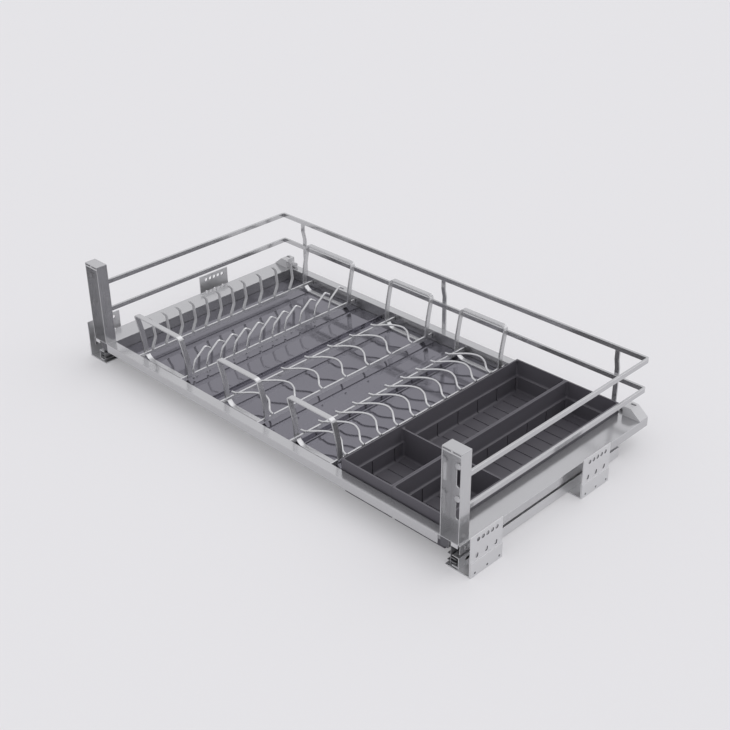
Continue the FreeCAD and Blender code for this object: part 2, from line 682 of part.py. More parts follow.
def make_post_caps():
    """The plate on top of each post, with a lip hung from one tab so that two slits stay open."""
    wall = size.post_wall
    top = size.flange_top + size.post_height
    plate_underside = top - wall
    lip_top = plate_underside - size.cap_slit_height
    for side_name, side in SIDES.items():
        name = "post_cap_" + side_name
        inner_face = POST_INNER_EDGE + wall
        outer_face = POST_OUTER_EDGE - wall
        tab_middle = (inner_face + outer_face) / 2
        tab_half = size.cap_tab_width / 2
        lip_depth = (POST_FRONT, POST_FRONT + wall)
        plate = box(
            name + "_plate",
            mirrored(side, POST_INNER_EDGE, POST_OUTER_EDGE),
            (POST_FRONT, POST_REAR),
            (plate_underside, top),
        )
        tab = box(
            name + "_tab",
            mirrored(side, tab_middle - tab_half, tab_middle + tab_half),
            lip_depth,
            (lip_top, plate_underside),
        )
        lip = box(
            name + "_lip",
            mirrored(side, inner_face, outer_face),
            lip_depth,
            (lip_top - size.cap_lip_height, lip_top),
        )
        finish(fused(name, [plate, tab, lip]), name)


def make_post_hooks():
    """A headed stud with a nut at the top of each slot, for hanging the drawer's front panel."""
    wall_front = POST_REAR - size.post_wall
    for side_name, side in SIDES.items():
        name = "post_hooks_" + side_name
        middle = (POST_INNER_EDGE + size.keyhole_inset) * side
        studs = []
        for index, (low, high) in enumerate(keyhole_spans()):
            centre = (middle, high - size.keyhole_width / 2)
            part = f"{name}_{index}"
            thickness = size.hook_head_thickness
            head_ends = (wall_front - thickness, wall_front)
            nut_ends = (POST_REAR, POST_REAR + thickness)
            shank_ends = (wall_front - thickness, POST_REAR + thickness)
            head = rod_along(part + "_head", "y", centre, size.hook_head_diameter, *head_ends)
            nut = rod_along(part + "_nut", "y", centre, size.hook_head_diameter, *nut_ends)
            shank = rod_along(part + "_shank", "y", centre, size.hook_shank_diameter, *shank_ends)
            studs.append(fused(part, [head, shank, nut]))
        finish(grouped(name, studs), name)


def make_gallery_rails():
    """Two U-shaped flat bars from post to post round the back of the tray."""
    thickness = size.rail_thickness
    inner_radius = size.rail_bend_radius
    outer_radius = inner_radius + thickness
    outer = RAIL_HALF_SPAN
    inner = outer - thickness
    outline = [
        (-outer, POST_REAR),
        (-inner, POST_REAR),
        (-inner, REAR - thickness, inner_radius),
        (inner, REAR - thickness, inner_radius),
        (inner, POST_REAR),
        (outer, POST_REAR),
        (outer, REAR, outer_radius),
        (-outer, REAR, outer_radius),
    ]
    for name, rise in (("upper_rail", size.upper_rail_rise), ("lower_rail", size.lower_rail_rise)):
        top = size.flange_top + rise
        finish(padded(name, "XY", [outline], top - size.rail_height, top), name)


def make_rail_supports():
    """Three strips behind the tray: under the upper rail, bent out behind the lower rail."""
    thickness = size.support_thickness
    foot = size.flange_top - size.side_lip_height
    top = size.flange_top + size.upper_rail_rise - size.rail_height
    bend_top = top - size.support_joggle_drop
    bend_bottom = bend_top - size.support_joggle_height
    upper_front = REAR - size.rail_thickness / 2 - thickness / 2
    outline = [
        (REAR, foot),
        (REAR + thickness, foot),
        (REAR + thickness, bend_bottom),
        (upper_front + thickness, bend_top),
        (upper_front + thickness, top),
        (upper_front, top),
        (upper_front, bend_top),
        (REAR, bend_bottom),
    ]
    spacing = RAIL_HALF_SPAN - size.support_inset
    places = {"left": -spacing, "centre": as_size(0), "right": spacing}
    half = size.support_width / 2
    for place_name, middle in places.items():
        name = "rail_support_" + place_name
        finish(padded(name, "YZ", [outline], middle - half, middle + half), name)


def make_hook_blocks():
    """A wedge on each rear corner of the flange, with a latch pocket and a lug over the pan."""
    base = size.flange_top
    ridge = base + size.block_height
    front = REAR - size.block_depth
    pocket_rear = REAR - size.block_pocket_rear
    lug_middle = (REAR - size.lug_rear, base + size.lug_diameter / 2)
    upright = PAN_HALF_WIDTH + size.block_inset
    ridge_end = upright + size.block_top_width
    for side_name, side in SIDES.items():
        name = "hook_block_" + side_name
        outline = [
            (upright * side, base),
            ((upright + size.block_width) * side, base),
            ((upright + size.block_width) * side, base + size.block_toe_height),
            (ridge_end * side, ridge),
            (upright * side, ridge),
        ]
        wedge = padded(name + "_wedge", "XZ", [outline], front, REAR)
        pocket = box(
            name + "_pocket",
            mirrored(side, ridge_end - size.block_pocket_width, ridge_end),
            (pocket_rear - size.block_pocket_depth, pocket_rear),
            (base + size.block_pocket_floor, ridge),
        )
        lug = rod_along(
            name + "_lug", "x", lug_middle, size.lug_diameter,
            *mirrored(side, upright - size.lug_length, upright),
        )
        finish(fused(name, [cut(name + "_body", wedge, [pocket]), lug]), name)


def bracket_places():
    """Name, side and front edge of each wall bracket."""
    for end_name, setback in (
        ("front", size.front_bracket_setback), ("rear", size.rear_bracket_setback)
    ):
        for side_name, side in SIDES.items():
            yield f"{end_name}_{side_name}", side, FRONT + setback


def make_bracket_plates():
    """The upright plate of each wall bracket, with a row of holes and three leaning slots."""
    gauge = size.bracket_gauge
    hole_height = size.bracket_height - size.bracket_hole_drop
    slot_height = size.bracket_height - size.bracket_slot_drop
    slot_half = size.bracket_slot_width / 2
    slot_rise = size.bracket_slot_length / 2
    slot_lean = size.bracket_slot_lean / 2
    end_radius = slot_half * LEANING_SLOT_END_SHARE
    outer = WALL_PLANE - gauge
    for place, side, front in bracket_places():
        name = "bracket_plate_" + place
        outline = rectangle((front, front + size.bracket_depth), (gauge, size.bracket_height))
        body = padded(name + "_sheet", "YZ", [outline], *mirrored(side, outer - gauge, outer))
        slots = []
        for index in range(BRACKET_SLOT_COUNT):
            middle = front + size.bracket_slot_first + size.bracket_slot_pitch * index
            slots.append([
                (middle - slot_half - slot_lean, slot_height - slot_rise, end_radius),
                (middle + slot_half - slot_lean, slot_height - slot_rise, end_radius),
                (middle + slot_half + slot_lean, slot_height + slot_rise, end_radius),
                (middle - slot_half + slot_lean, slot_height + slot_rise, end_radius),
            ])
        pierce(body, name + "_slots", "YZ", slots)
        drills = []
        for index in range(BRACKET_HOLE_COUNT):
            middle = front + size.bracket_hole_first + size.bracket_hole_pitch * index
            ends = mirrored(side, outer - gauge * 2, outer + gauge)
            drills.append(rod_along(
                f"{name}_drill_{index}", "x", (middle, hole_height), size.bracket_hole_diameter,
                *ends,
            ))
        finish(cut(name, body, drills), name)


def rivet_centres(front):
    """The places of the rivets along one bracket."""
    return [
        (front + size.rivet_first + size.rivet_pitch * index, size.rivet_height)
        for index in range(RIVET_COUNT)
    ]


def make_bracket_angles():
    """The foot angle outside each bracket plate, with a flat leg under the slide."""
    gauge = size.bracket_gauge
    outer = WALL_PLANE
    foot = CABINET_RAIL_OUTER - size.cabinet_rail_width - size.bracket_foot_overhang
    for place, side, front in bracket_places():
        name = "bracket_angle_" + place
        section = [
            (foot * side, as_size(0)),
            (outer * side, as_size(0)),
            (outer * side, size.bracket_overlap),
            ((outer - gauge) * side, size.bracket_overlap),
            ((outer - gauge) * side, gauge),
            (foot * side, gauge),
        ]
        body = padded(name + "_sheet", "XZ", [section], front, front + size.bracket_depth)
        hole = size.rivet_diameter + size.rivet_clearance * 2
        ends = mirrored(side, outer - gauge, outer + gauge)
        drills = []
        for index, centre in enumerate(rivet_centres(front)):
            drills.append(rod_along(f"{name}_drill_{index}", "x", centre, hole, *ends))
        finish(cut(name, body, drills), name)


def make_bracket_rivets():
    """Flush rivets in the foot angles, seated on the plates behind."""
    outer = WALL_PLANE
    rivets = []
    for place, side, front in bracket_places():
        ends = mirrored(side, outer - size.bracket_gauge, outer)
        for index, centre in enumerate(rivet_centres(front)):
            name = f"rivet_{place}_{index}"
            rivets.append(rod_along(name, "x", centre, size.rivet_diameter, *ends))
    finish(grouped("bracket_rivets", rivets), "bracket_rivets")


# Heights and widths inside the slides. A race lies one ball and its clearances inside a rail.
SLIDE_FRONT = FRONT + size.slide_setback
SLIDE_SPAN = (SLIDE_FRONT, SLIDE_FRONT + size.slide_length)
BALL_SPACE = size.ball_diameter + size.ball_clearance * 2
CABINET_BOTTOM = size.bracket_gauge
CABINET_TOP = CABINET_BOTTOM + size.cabinet_rail_height
LOW_RACE_BOTTOM = CABINET_BOTTOM + size.slide_gauge + BALL_SPACE
LOW_RACE_TOP = CABINET_TOP - size.slide_gauge - BALL_SPACE
DRAWER_TOP = FLANGE_UNDERSIDE
DRAWER_BOTTOM = DRAWER_TOP - size.drawer_rail_height
HIGH_RACE_BOTTOM = DRAWER_BOTTOM + size.slide_gauge + BALL_SPACE
HIGH_RACE_TOP = DRAWER_TOP - size.slide_gauge - BALL_SPACE
DRAWER_RAIL_OUTER = DRAWER_RAIL_INNER + size.drawer_rail_width


def make_cabinet_rails():
    """The fixed member of each slide: a channel on the bracket feet, open to the drawer."""
    gauge = size.slide_gauge
    outer = CABINET_RAIL_OUTER
    inner = outer - size.cabinet_rail_width
    slot_front = SLIDE_FRONT + size.cabinet_slot_setback
    slot_middle = (CABINET_BOTTOM + CABINET_TOP) / 2
    slot_half = size.cabinet_slot_height / 2
    for side_name, side in SIDES.items():
        name = "cabinet_rail_" + side_name
        section = [
            (inner * side, CABINET_BOTTOM),
            (outer * side, CABINET_BOTTOM),
            (outer * side, CABINET_TOP),
            (inner * side, CABINET_TOP),
            (inner * side, CABINET_TOP - gauge),
            ((outer - gauge) * side, CABINET_TOP - gauge),
            ((outer - gauge) * side, CABINET_BOTTOM + gauge),
            (inner * side, CABINET_BOTTOM + gauge),
        ]
        body = padded(name, "XZ", [section], *SLIDE_SPAN)
        slot = rectangle(
            (slot_front, slot_front + size.cabinet_slot_length),
            (slot_middle - slot_half, slot_middle + slot_half),
            slot_half * SLOT_END_SHARE,
        )
        pierce(body, name + "_slot", "YZ", [slot])
        finish(body, name)


def make_middle_rails():
    """The moving middle member: an upright web with a low race outside and a high race inside."""
    gauge = size.slide_gauge
    web_outer = DRAWER_RAIL_OUTER + size.middle_web_gap + gauge
    web_inner = web_outer - gauge
    low_edge = CABINET_RAIL_OUTER - gauge - size.race_end_gap
    high_edge = DRAWER_RAIL_INNER + gauge + size.race_end_gap
    curl_edge = web_inner - size.middle_curl_width
    flanges = {
        "low_race_top": (web_outer, low_edge, LOW_RACE_TOP - gauge, LOW_RACE_TOP),
        "low_race_bottom": (web_outer, low_edge, LOW_RACE_BOTTOM, LOW_RACE_BOTTOM + gauge),
        "high_race_top": (high_edge, web_inner, HIGH_RACE_TOP - gauge, HIGH_RACE_TOP),
        "high_race_bottom": (high_edge, web_inner, HIGH_RACE_BOTTOM, HIGH_RACE_BOTTOM + gauge),
        "curl_top": (curl_edge, web_inner, CABINET_TOP - gauge, CABINET_TOP),
        "curl_bottom": (curl_edge, web_inner, LOW_RACE_BOTTOM, LOW_RACE_BOTTOM + gauge),
    }
    for side_name, side in SIDES.items():
        name = "middle_rail_" + side_name
        web = box(
            name + "_web",
            mirrored(side, web_inner, web_outer),
            SLIDE_SPAN,
            (CABINET_BOTTOM + gauge, HIGH_RACE_TOP),
        )
        pieces = [web]
        for part, (near, far, bottom, top) in flanges.items():
            pieces.append(box(f"{name}_{part}", mirrored(side, near, far), SLIDE_SPAN, (bottom, top)))
        finish(fused(name, pieces), name)


def make_drawer_rails():
    """The member under each side flange: a channel open to the cabinet wall, with a front plug."""
    gauge = size.slide_gauge
    inner = DRAWER_RAIL_INNER
    for side_name, side in SIDES.items():
        name = "drawer_rail_" + side_name
        section = [
            (DRAWER_RAIL_OUTER * side, DRAWER_BOTTOM),
            (DRAWER_RAIL_OUTER * side, DRAWER_BOTTOM + gauge),
            ((inner + gauge) * side, DRAWER_BOTTOM + gauge),
            ((inner + gauge) * side, DRAWER_TOP - gauge),
            (DRAWER_RAIL_OUTER * side, DRAWER_TOP - gauge),
            (DRAWER_RAIL_OUTER * side, DRAWER_TOP),
            (inner * side, DRAWER_TOP),
            (inner * side, DRAWER_BOTTOM),
        ]
        channel = padded(name + "_channel", "XZ", [section], *SLIDE_SPAN)
        plug = box(
            name + "_plug",
            mirrored(side, inner, DRAWER_RAIL_OUTER),
            (SLIDE_FRONT - size.ball_diameter, SLIDE_FRONT),
            (DRAWER_BOTTOM, DRAWER_TOP),
        )
        finish(fused(name, [channel, plug]), name)


def ball_cage(name, side, web_x, strip_x, heights):
    """A cage: an upright web, a strip above and one below, and a row of balls in each strip."""
    gauge = size.cage_gauge
    front = FRONT + size.cage_setback
    span = (front, front + size.cage_length)
    low, high = heights
    web = box(
        name + "_web", mirrored(side, *web_x), span, (low - gauge / 2, high + gauge / 2)
    )
    pieces = [web]
    ball_x = (strip_x[0] + strip_x[1]) / 2
    for level, height in (("low", low), ("high", high)):
        reach = (strip_x[0], web_x[0]) if web_x[0].value > strip_x[0].value else (web_x[1], strip_x[1])
        pieces.append(box(
            f"{name}_{level}_strip", mirrored(side, *reach), span,
            (height - gauge / 2, height + gauge / 2),
        ))
        for index in range(ROW_BALL_COUNT):
            ball = doc.addObject("Part::Sphere", f"{name}_{level}_ball_{index}")
            ball.setExpression("Radius", (size.ball_diameter / 2).formula)
            spot = front + size.cage_length * (index + 0.5) / ROW_BALL_COUNT
            for axis, place in zip("xyz", (ball_x * side, spot, height)):
                ball.setExpression(f"Placement.Base.{axis}", place.formula)
            pieces.append(ball)
    return finish(fused(name, pieces), name)


def make_ball_cages():
    """Outer cages run between cabinet and middle rails, inner cages between middle and drawer."""
    gauge = size.slide_gauge
    web_gap = (size.race_end_gap - size.cage_gauge) / 2
    low_heights = (LOW_RACE_BOTTOM - BALL_SPACE / 2, LOW_RACE_TOP + BALL_SPACE / 2)
    high_heights = (HIGH_RACE_BOTTOM - BALL_SPACE / 2, HIGH_RACE_TOP + BALL_SPACE / 2)
    cabinet_web = CABINET_RAIL_OUTER - gauge
    drawer_web = DRAWER_RAIL_INNER + gauge
    low_edge = cabinet_web - size.race_end_gap
    high_edge = drawer_web + size.race_end_gap
    for side_name, side in SIDES.items():
        ball_cage(
            "outer_cage_" + side_name, side,
            (cabinet_web - web_gap - size.cage_gauge, cabinet_web - web_gap),
            (low_edge - size.cage_width, low_edge),
            low_heights,
        )
        ball_cage(
            "inner_cage_" + side_name, side,
            (drawer_web + web_gap, drawer_web + web_gap + size.cage_gauge),
            (high_edge, high_edge + size.cage_width),
            high_heights,
        )


def make_front_clips():
    """A clip under the front end of each side flange, with a release lever behind it."""
    outer = TRAY_EDGE - size.clip_inset
    for side_name, side in SIDES.items():
        name = "front_clip_" + side_name
        plate_rear = POST_FRONT + size.clip_depth
        across = mirrored(side, outer - size.clip_width, outer)
        plate = box(
            name + "_plate", across, (POST_FRONT, plate_rear),
            (FLANGE_UNDERSIDE - size.clip_drop, FLANGE_UNDERSIDE),
        )
        lever = box(
            name + "_lever", across, (plate_rear, plate_rear + size.clip_lever_length),
            (FLANGE_UNDERSIDE - size.clip_lever_height, FLANGE_UNDERSIDE),
        )
        finish(fused(name, [plate, lever]), name)


def make_lip_screws():
    """Two screw heads on each side lip near the front."""
    height = size.flange_top - size.lip_screw_drop
    screws = []
    for side_name, side in SIDES.items():
        ends = mirrored(side, TRAY_EDGE, TRAY_EDGE + size.lip_screw_height)
        for index in range(LIP_SCREW_COUNT):
            centre = (FRONT + size.lip_screw_first + size.lip_screw_pitch * index, height)
            name = f"lip_screw_{side_name}_{index}"
            screws.append(rod_along(name, "x", centre, size.lip_screw_diameter, *ends))
    finish(grouped("lip_screws", screws), "lip_screws")


def make_drip_tray():
    """The flat drip tray on the pan floor, with two ribs and two low beads from front to back."""
    span = (PAN_FRONT + size.drip_end_gap, PAN_REAR - size.drip_end_gap)
    left = -PAN_HALF_WIDTH + size.drip_end_gap
    right = CUTLERY_LEFT - size.drip_side_gap
    floor = box("drip_floor", (left, right), span, (PAN_FLOOR, DRIP_FLOOR))
    rib = (size.drip_rib_width, size.drip_rib_height)
    bead = (size.drip_bead_width, size.drip_bead_height)
    rib_left = RACK_CENTRES["bowl_rack"] - size.left_rib_offset
    rib_right = RACK_CENTRES["cup_rack"] - size.right_rib_offset
    bead_left = rib_right - size.drip_bead_offset
    rises = {
        "rib_left": (rib_left, *rib),
        "rib_right": (rib_right, *rib),
        "bead_left": (bead_left, *bead),
        "bead_right": (bead_left + size.drip_bead_pitch, *bead),
    }
    pieces = [floor]
    for part, (middle, width, height) in rises.items():
        across = (middle - width / 2, middle + width / 2)
        pieces.append(box("drip_" + part, across, span, (DRIP_FLOOR, DRIP_FLOOR + height)))
    finish(fused("drip_tray", pieces), "drip_tray")


def make_rods(rack, centre, span, handles):
    """The two flat rods on edge that carry a rack's wires, coped where the handle loops curve in."""
    for side_name, side in SIDES.items():
        name = f"{rack}_rod_{side_name}"
        middle = centre + span / 2 * side
        half = size.rod_thickness / 2
        bar = box(
            name + "_bar", (middle - half, middle + half), (ROD_FRONT, ROD_REAR),
            (size.rod_top - size.rod_height, size.rod_top),
        )
        finish(cut(name, bar, handles), name)


def make_handles(rack, centre, span):
    """A closed loop of flat strip at each end of a rack: handle, legs and foot bar in one."""
    gauge = size.handle_gauge
    half_strip = size.handle_width / 2
    inner_half = span / 2 + size.rod_thickness / 2
    outer_half = inner_half + gauge
    outer_loop = [
        (centre - outer_half, DRIP_FLOOR, size.handle_foot_radius),
        (centre + outer_half, DRIP_FLOOR, size.handle_foot_radius),
        (centre + outer_half, size.handle_top, size.handle_top_radius),
        (centre - outer_half, size.handle_top, size.handle_top_radius),
    ]
    inner_foot_radius = size.handle_foot_radius - gauge
    inner_top_radius = size.handle_top_radius - gauge
    inner_loop = [
        (centre - inner_half, DRIP_FLOOR + gauge, inner_foot_radius),
        (centre + inner_half, DRIP_FLOOR + gauge, inner_foot_radius),
        (centre + inner_half, size.handle_top - gauge, inner_top_radius),
        (centre - inner_half, size.handle_top - gauge, inner_top_radius),
    ]
    ends = {
        "front": (ROD_FRONT + size.handle_inset, -size.handle_lean),
        "rear": (ROD_REAR - size.handle_inset, size.handle_lean),
    }
    handles = []
    for end_name, (middle, lean) in ends.items():
        name = f"{rack}_handle_{end_name}"
        reach = half_strip + size.handle_lean
        loop = padded(
            name + "_loop", "XZ", [outer_loop, inner_loop], middle - reach, middle + reach
        )
        lean_outline = [
            (middle - half_strip, DRIP_FLOOR),
            (middle + half_strip, DRIP_FLOOR),
            (middle + half_strip, size.handle_knee, size.handle_knee_radius),
            (middle + half_strip + lean, size.handle_top),
            (middle - half_strip + lean, size.handle_top),
            (middle - half_strip, size.handle_knee, size.handle_knee_radius),
        ]
        band = padded(
            name + "_band", "YZ", [lean_outline], centre - outer_half, centre + outer_half
        )
        leaning_loop = doc.addObject("Part::MultiCommon", name)
        leaning_loop.Shapes = [loop, band]
        handles.append(finish(leaning_loop, name))
    return handles


def uneven_row(first, pitch, close_count, wide_pitch, wide_count):
    """Distances along a rod: a row at one pitch, then some more at a wider one."""
    places = [first + pitch * index for index in range(close_count)]
    last = places[-1]
    places += [last + wide_pitch * (index + 1) for index in range(wide_count)]
    return places


def upright_shape(rod_x, steps):
    """Points over a rod: each step is how far it stands to the rear and above the rod's top."""
    base = size.rod_top + size.weld_gap
    return [Vector(rod_x.value, reach.value, (base + rise).value) for reach, rise in steps]


def make_plate_fingers():
    """Flat fingers on the plate rack's left rod: out to the rear, upright, tips to the front."""
    rod_x = RACK_CENTRES["plate_rack"] - size.plate_rack_span / 2
    upright = as_size(0)
    steps = [
        (upright, as_size(0)),
        (upright, size.finger_foot),
        (size.finger_knee_reach, size.finger_knee_rise),
        (size.finger_neck_reach, size.finger_neck_rise),
        (size.finger_tip_reach, size.finger_rise),
    ]
    shape_points = upright_shape(rod_x, steps)
    strip = flat_strip(shape_points, size.finger_width.value, size.finger_gauge.value)
    places = uneven_row(
        size.finger_first, size.finger_pitch, CLOSE_FINGER_COUNT,
        size.wide_finger_pitch, WIDE_FINGER_COUNT,
    )
    row_of_copies(
        "plate_rack_flat_fingers", [strip],
        [Vector(0, (ROD_FRONT + place).value, 0) for place in places],
    )


def make_plate_prongs():
    """Wire prongs on the plate rack's right rod, bent over to the rear, with stubs below it."""
    rod_x = RACK_CENTRES["plate_rack"] + size.plate_rack_span / 2
    upright = as_size(0)
    steps = [
        (upright, as_size(0)),
        (upright, size.prong_foot),
        (size.prong_knee_reach, size.prong_knee_rise),
        (size.prong_bend_reach, size.prong_rise),
        (size.prong_reach, size.prong_rise - size.prong_tip_drop),
    ]
    shape_points = upright_shape(rod_x, steps)
    prong = round_wire(shape_points, size.prong_diameter.value, KINKED_BEND_SHARE)
    rod_bottom = Vector(rod_x.value, 0, (size.rod_top - size.rod_height).value)
    radius = (size.prong_diameter / 2).value
    stub = Part.makeCylinder(radius, size.prong_stub.value, rod_bottom, Vector(0, 0, -1))
    places = uneven_row(
        size.prong_first, size.prong_pitch, CLOSE_FINGER_COUNT,
        size.wide_prong_pitch, WIDE_FINGER_COUNT,
    )
    row_of_copies(
        "plate_rack_prongs", [prong, stub],
        [Vector(0, (ROD_FRONT + place).value, 0) for place in places],
    )


# The course of a curved wire from its left weld to its right one. Each row gives shares: how far
# along the rack's width, of the bow to the rear, and of the crown above the welds.
WIRE_COURSE = [
    (0.0, 0.0, 0.0),
    (0.12, 0.06, 0.66),
    (0.24, 0.42, 1.0),
    (0.37, 0.84, 1.0),
    (0.53, 1.04, 0.95),
    (0.70, 0.80, 0.85),
    (0.83, 0.36, 0.66),
    (0.92, 0.06, 0.25),
    (1.0, 0.0, 0.0),
]


def make_curved_wires(rack, centre, span, pitch, count):
    """S-shaped wires across a rack's rods: they rise and bow to the rear between the welds."""
    left = (centre - span / 2).value
    right = (centre + span / 2).value
    radius = (size.wire_diameter / 2).value
    weld = size.rod_top.value + radius + size.weld_gap.value
    course = [
        Vector(
            left + span.value * across,
            size.wire_bow.value * bow,
            weld + size.wire_crown.value * crown,
        )
        for across, bow, crown in WIRE_COURSE
    ]
    left_tip = Vector(left - size.wire_overhang.value, 0, weld - size.wire_tip_droop.value)
    right_tip = Vector(right + size.wire_tip_overhang.value, 0, weld)
    shape_points = [left_tip, *course, right_tip]
    wire = round_wire(shape_points, size.wire_diameter.value, ROUND_BEND_SHARE)
    places = [ROD_FRONT + size.wire_first + pitch * index for index in range(count)]
    row_of_copies(rack + "_wires", [wire], [Vector(0, place.value, 0) for place in places])


def make_racks():
    """The plate, bowl and cup racks, left to right."""
    spans = {
        "plate_rack": size.plate_rack_span,
        "bowl_rack": size.bowl_rack_span,
        "cup_rack": size.cup_rack_span,
    }
    wires = {
        "bowl_rack": (size.bowl_wire_pitch, BOWL_WIRE_COUNT),
        "cup_rack": (size.cup_wire_pitch, CUP_WIRE_COUNT),
    }
    for rack, centre in RACK_CENTRES.items():
        handles = make_handles(rack, centre, spans[rack])
        make_rods(rack, centre, spans[rack], handles)
    make_plate_fingers()
    make_plate_prongs()
    for rack, row in wires.items():
        make_curved_wires(rack, RACK_CENTRES[rack], spans[rack], *row)


def tray_well(name, across, cross_wall_along, underside):
    """The lower part of a cutlery tray below the pan floor: a floor plate and five wall plates."""
    wall = size.cutlery_wall
    floor = underside + wall
    rise = (floor, PAN_FLOOR)
    left, right = across
    front = CUTLERY_FRONT + size.cutlery_step_width
    rear = CUTLERY_REAR - size.cutlery_step_width
    along = (front, rear)
    between = (left + wall, right - wall)
    return [
        box(name + "_floor", across, along, (underside, floor)),
        box(name + "_well_left", (left, left + wall), along, rise),
        box(name + "_well_right", (right - wall, right), along, rise),
        box(name + "_well_front", between, (front, front + wall), rise),
        box(name + "_well_rear", between, (rear - wall, rear), rise),
        box(name + "_well_cross", between, cross_wall_along, rise),
    ]


def make_cutlery_trays():
    """Two deep trays that hang in the pan's opening, each with a cross wall and an inner ledge."""
    wall = size.cutlery_wall
    step = size.cutlery_step_width
    top = PAN_FLOOR + size.cutlery_height
    step_top = top - size.cutlery_step_drop
    underside = PAN_FLOOR - size.cutlery_hang
    above = top + wall
    below = PAN_FLOOR - wall
    divider_front = CUTLERY_FRONT + size.divider_setback
    divider_rear = divider_front + size.divider_thickness
    divider_top = top - size.divider_drop
    inner_front = CUTLERY_FRONT + wall
    inner_rear = CUTLERY_REAR - wall
    cells = {
        "front": ((inner_front, divider_front), (inner_front + step, divider_front)),
        "rear": ((divider_rear, inner_rear), (divider_rear, inner_rear - step)),
    }
    for place_name, shift in (("right", 0), ("left", 1)):
        name = "cutlery_tray_" + place_name
        high_x = CUTLERY_RIGHT - (size.cutlery_width + size.cutlery_side_gap) * shift
        low_x = high_x - size.cutlery_width
        room_across = (low_x + wall, high_x - wall)
        well_across = (low_x + wall + step, high_x - wall - step)
        tools = [box(
            name + "_mouth", room_across, (inner_front, inner_rear), (divider_top, above),
        )]
        for cell, (room_along, well_along) in cells.items():
            label = f"{name}_{cell}"
            tools.append(box(label + "_room", room_across, room_along, (step_top, above)))
            tools.append(box(label + "_throat", well_across, well_along, (below, above)))
        upper_block = box(
            name + "_block", (low_x, high_x), (CUTLERY_FRONT, CUTLERY_REAR), (PAN_FLOOR, top),
        )
        upper = cut(name + "_upper", upper_block, tools)
        lower = tray_well(
            name, (low_x + step, high_x - step), (divider_front, divider_rear), underside,
        )
        finish(grouped(name, [upper, *lower]), name)


def check_document():
    """Stops if any object failed to build or any sub-part is empty or broken."""
    for item in doc.Objects:
        if "Invalid" in item.State or "Error" in item.State:
            raise RuntimeError(f"{item.Label} failed: {item.State}")
    for node in nodes:
        if node.Shape.isNull() or not node.Shape.isValid():
            raise RuntimeError(f"{node.Label} has no valid shape")
        if not node.Shape.Solids:
            raise RuntimeError(f"{node.Label} holds no solid")


def write_steps():
    """Writes each sub-part to parts/NODE.step."""
    os.makedirs("parts", exist_ok=True)
    for node in nodes:
        node.Shape.exportStep(f"parts/{node.Label}.step")
    print(len(nodes), "sub-parts written")


make_tray_pan()
make_front_profile()
make_rear_profile()
make_side_profiles()
make_posts()
make_post_caps()
make_post_hooks()
make_gallery_rails()
make_rail_supports()
make_hook_blocks()
make_bracket_plates()
make_bracket_angles()
make_bracket_rivets()
make_cabinet_rails()
make_middle_rails()
make_drawer_rails()
make_ball_cages()
make_front_clips()
make_lip_screws()
make_drip_tray()
make_racks()
make_cutlery_trays()
doc.recompute()
check_document()
write_steps()
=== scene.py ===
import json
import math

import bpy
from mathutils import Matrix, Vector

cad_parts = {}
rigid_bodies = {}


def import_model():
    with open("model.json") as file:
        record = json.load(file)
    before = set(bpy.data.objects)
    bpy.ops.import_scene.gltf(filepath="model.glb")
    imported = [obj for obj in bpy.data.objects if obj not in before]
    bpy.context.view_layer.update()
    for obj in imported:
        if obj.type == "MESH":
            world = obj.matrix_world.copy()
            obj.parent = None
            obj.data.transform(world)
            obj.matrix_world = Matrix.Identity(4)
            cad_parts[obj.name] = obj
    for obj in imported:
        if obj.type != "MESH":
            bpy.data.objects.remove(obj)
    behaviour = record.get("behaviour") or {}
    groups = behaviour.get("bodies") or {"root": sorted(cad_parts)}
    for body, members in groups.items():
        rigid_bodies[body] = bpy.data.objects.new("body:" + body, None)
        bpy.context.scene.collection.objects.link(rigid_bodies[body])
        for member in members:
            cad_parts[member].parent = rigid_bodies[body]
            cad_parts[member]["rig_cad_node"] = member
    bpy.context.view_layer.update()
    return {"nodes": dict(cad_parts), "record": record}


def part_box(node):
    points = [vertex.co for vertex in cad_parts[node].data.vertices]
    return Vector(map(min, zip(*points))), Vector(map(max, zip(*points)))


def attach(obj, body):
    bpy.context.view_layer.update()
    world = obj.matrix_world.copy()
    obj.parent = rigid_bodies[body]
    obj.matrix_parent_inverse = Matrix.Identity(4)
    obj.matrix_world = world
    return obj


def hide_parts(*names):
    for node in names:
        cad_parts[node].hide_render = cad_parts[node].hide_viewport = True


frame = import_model()

# %% [markdown]
# # A pull-out dish rack for a kitchen base unit
# The rack is a wide steel drawer. Two posts stand at its front corners and a two-rail gallery runs
# round its back. Inside are a plate rack, a bowl rack, a cup rack and two grey cutlery trays. The
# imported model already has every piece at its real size, so this file gives the pieces their edges,
# their finishes and the studio they stand in.

nodes = frame["nodes"]
body_of_node = {
    node: body
    for body, members in frame["record"]["behaviour"]["bodies"].items()
    for node in members
}
MM = 0.001

# %% [markdown]
# ## The camera
# The rack is seen from its front right corner, looking down by about thirty degrees. A long lens
# from well over a metre away keeps the rails nearly parallel, as in a catalogue picture. The
# camera's axes are built from its heading, its downward tilt and a very small roll.

# %% Camera
IMAGE_SIDE_PX = 730
FOCAL_PX = 1209.44
SENSOR_MM = 36.0
HEADING = math.radians(45.06)
DOWN_TILT = math.radians(29.747)
ROLL = math.radians(-0.6695)
EYE = Vector((1206.92, -1180.26, 1024.88)) * MM
FAR_LIMIT = 50.0

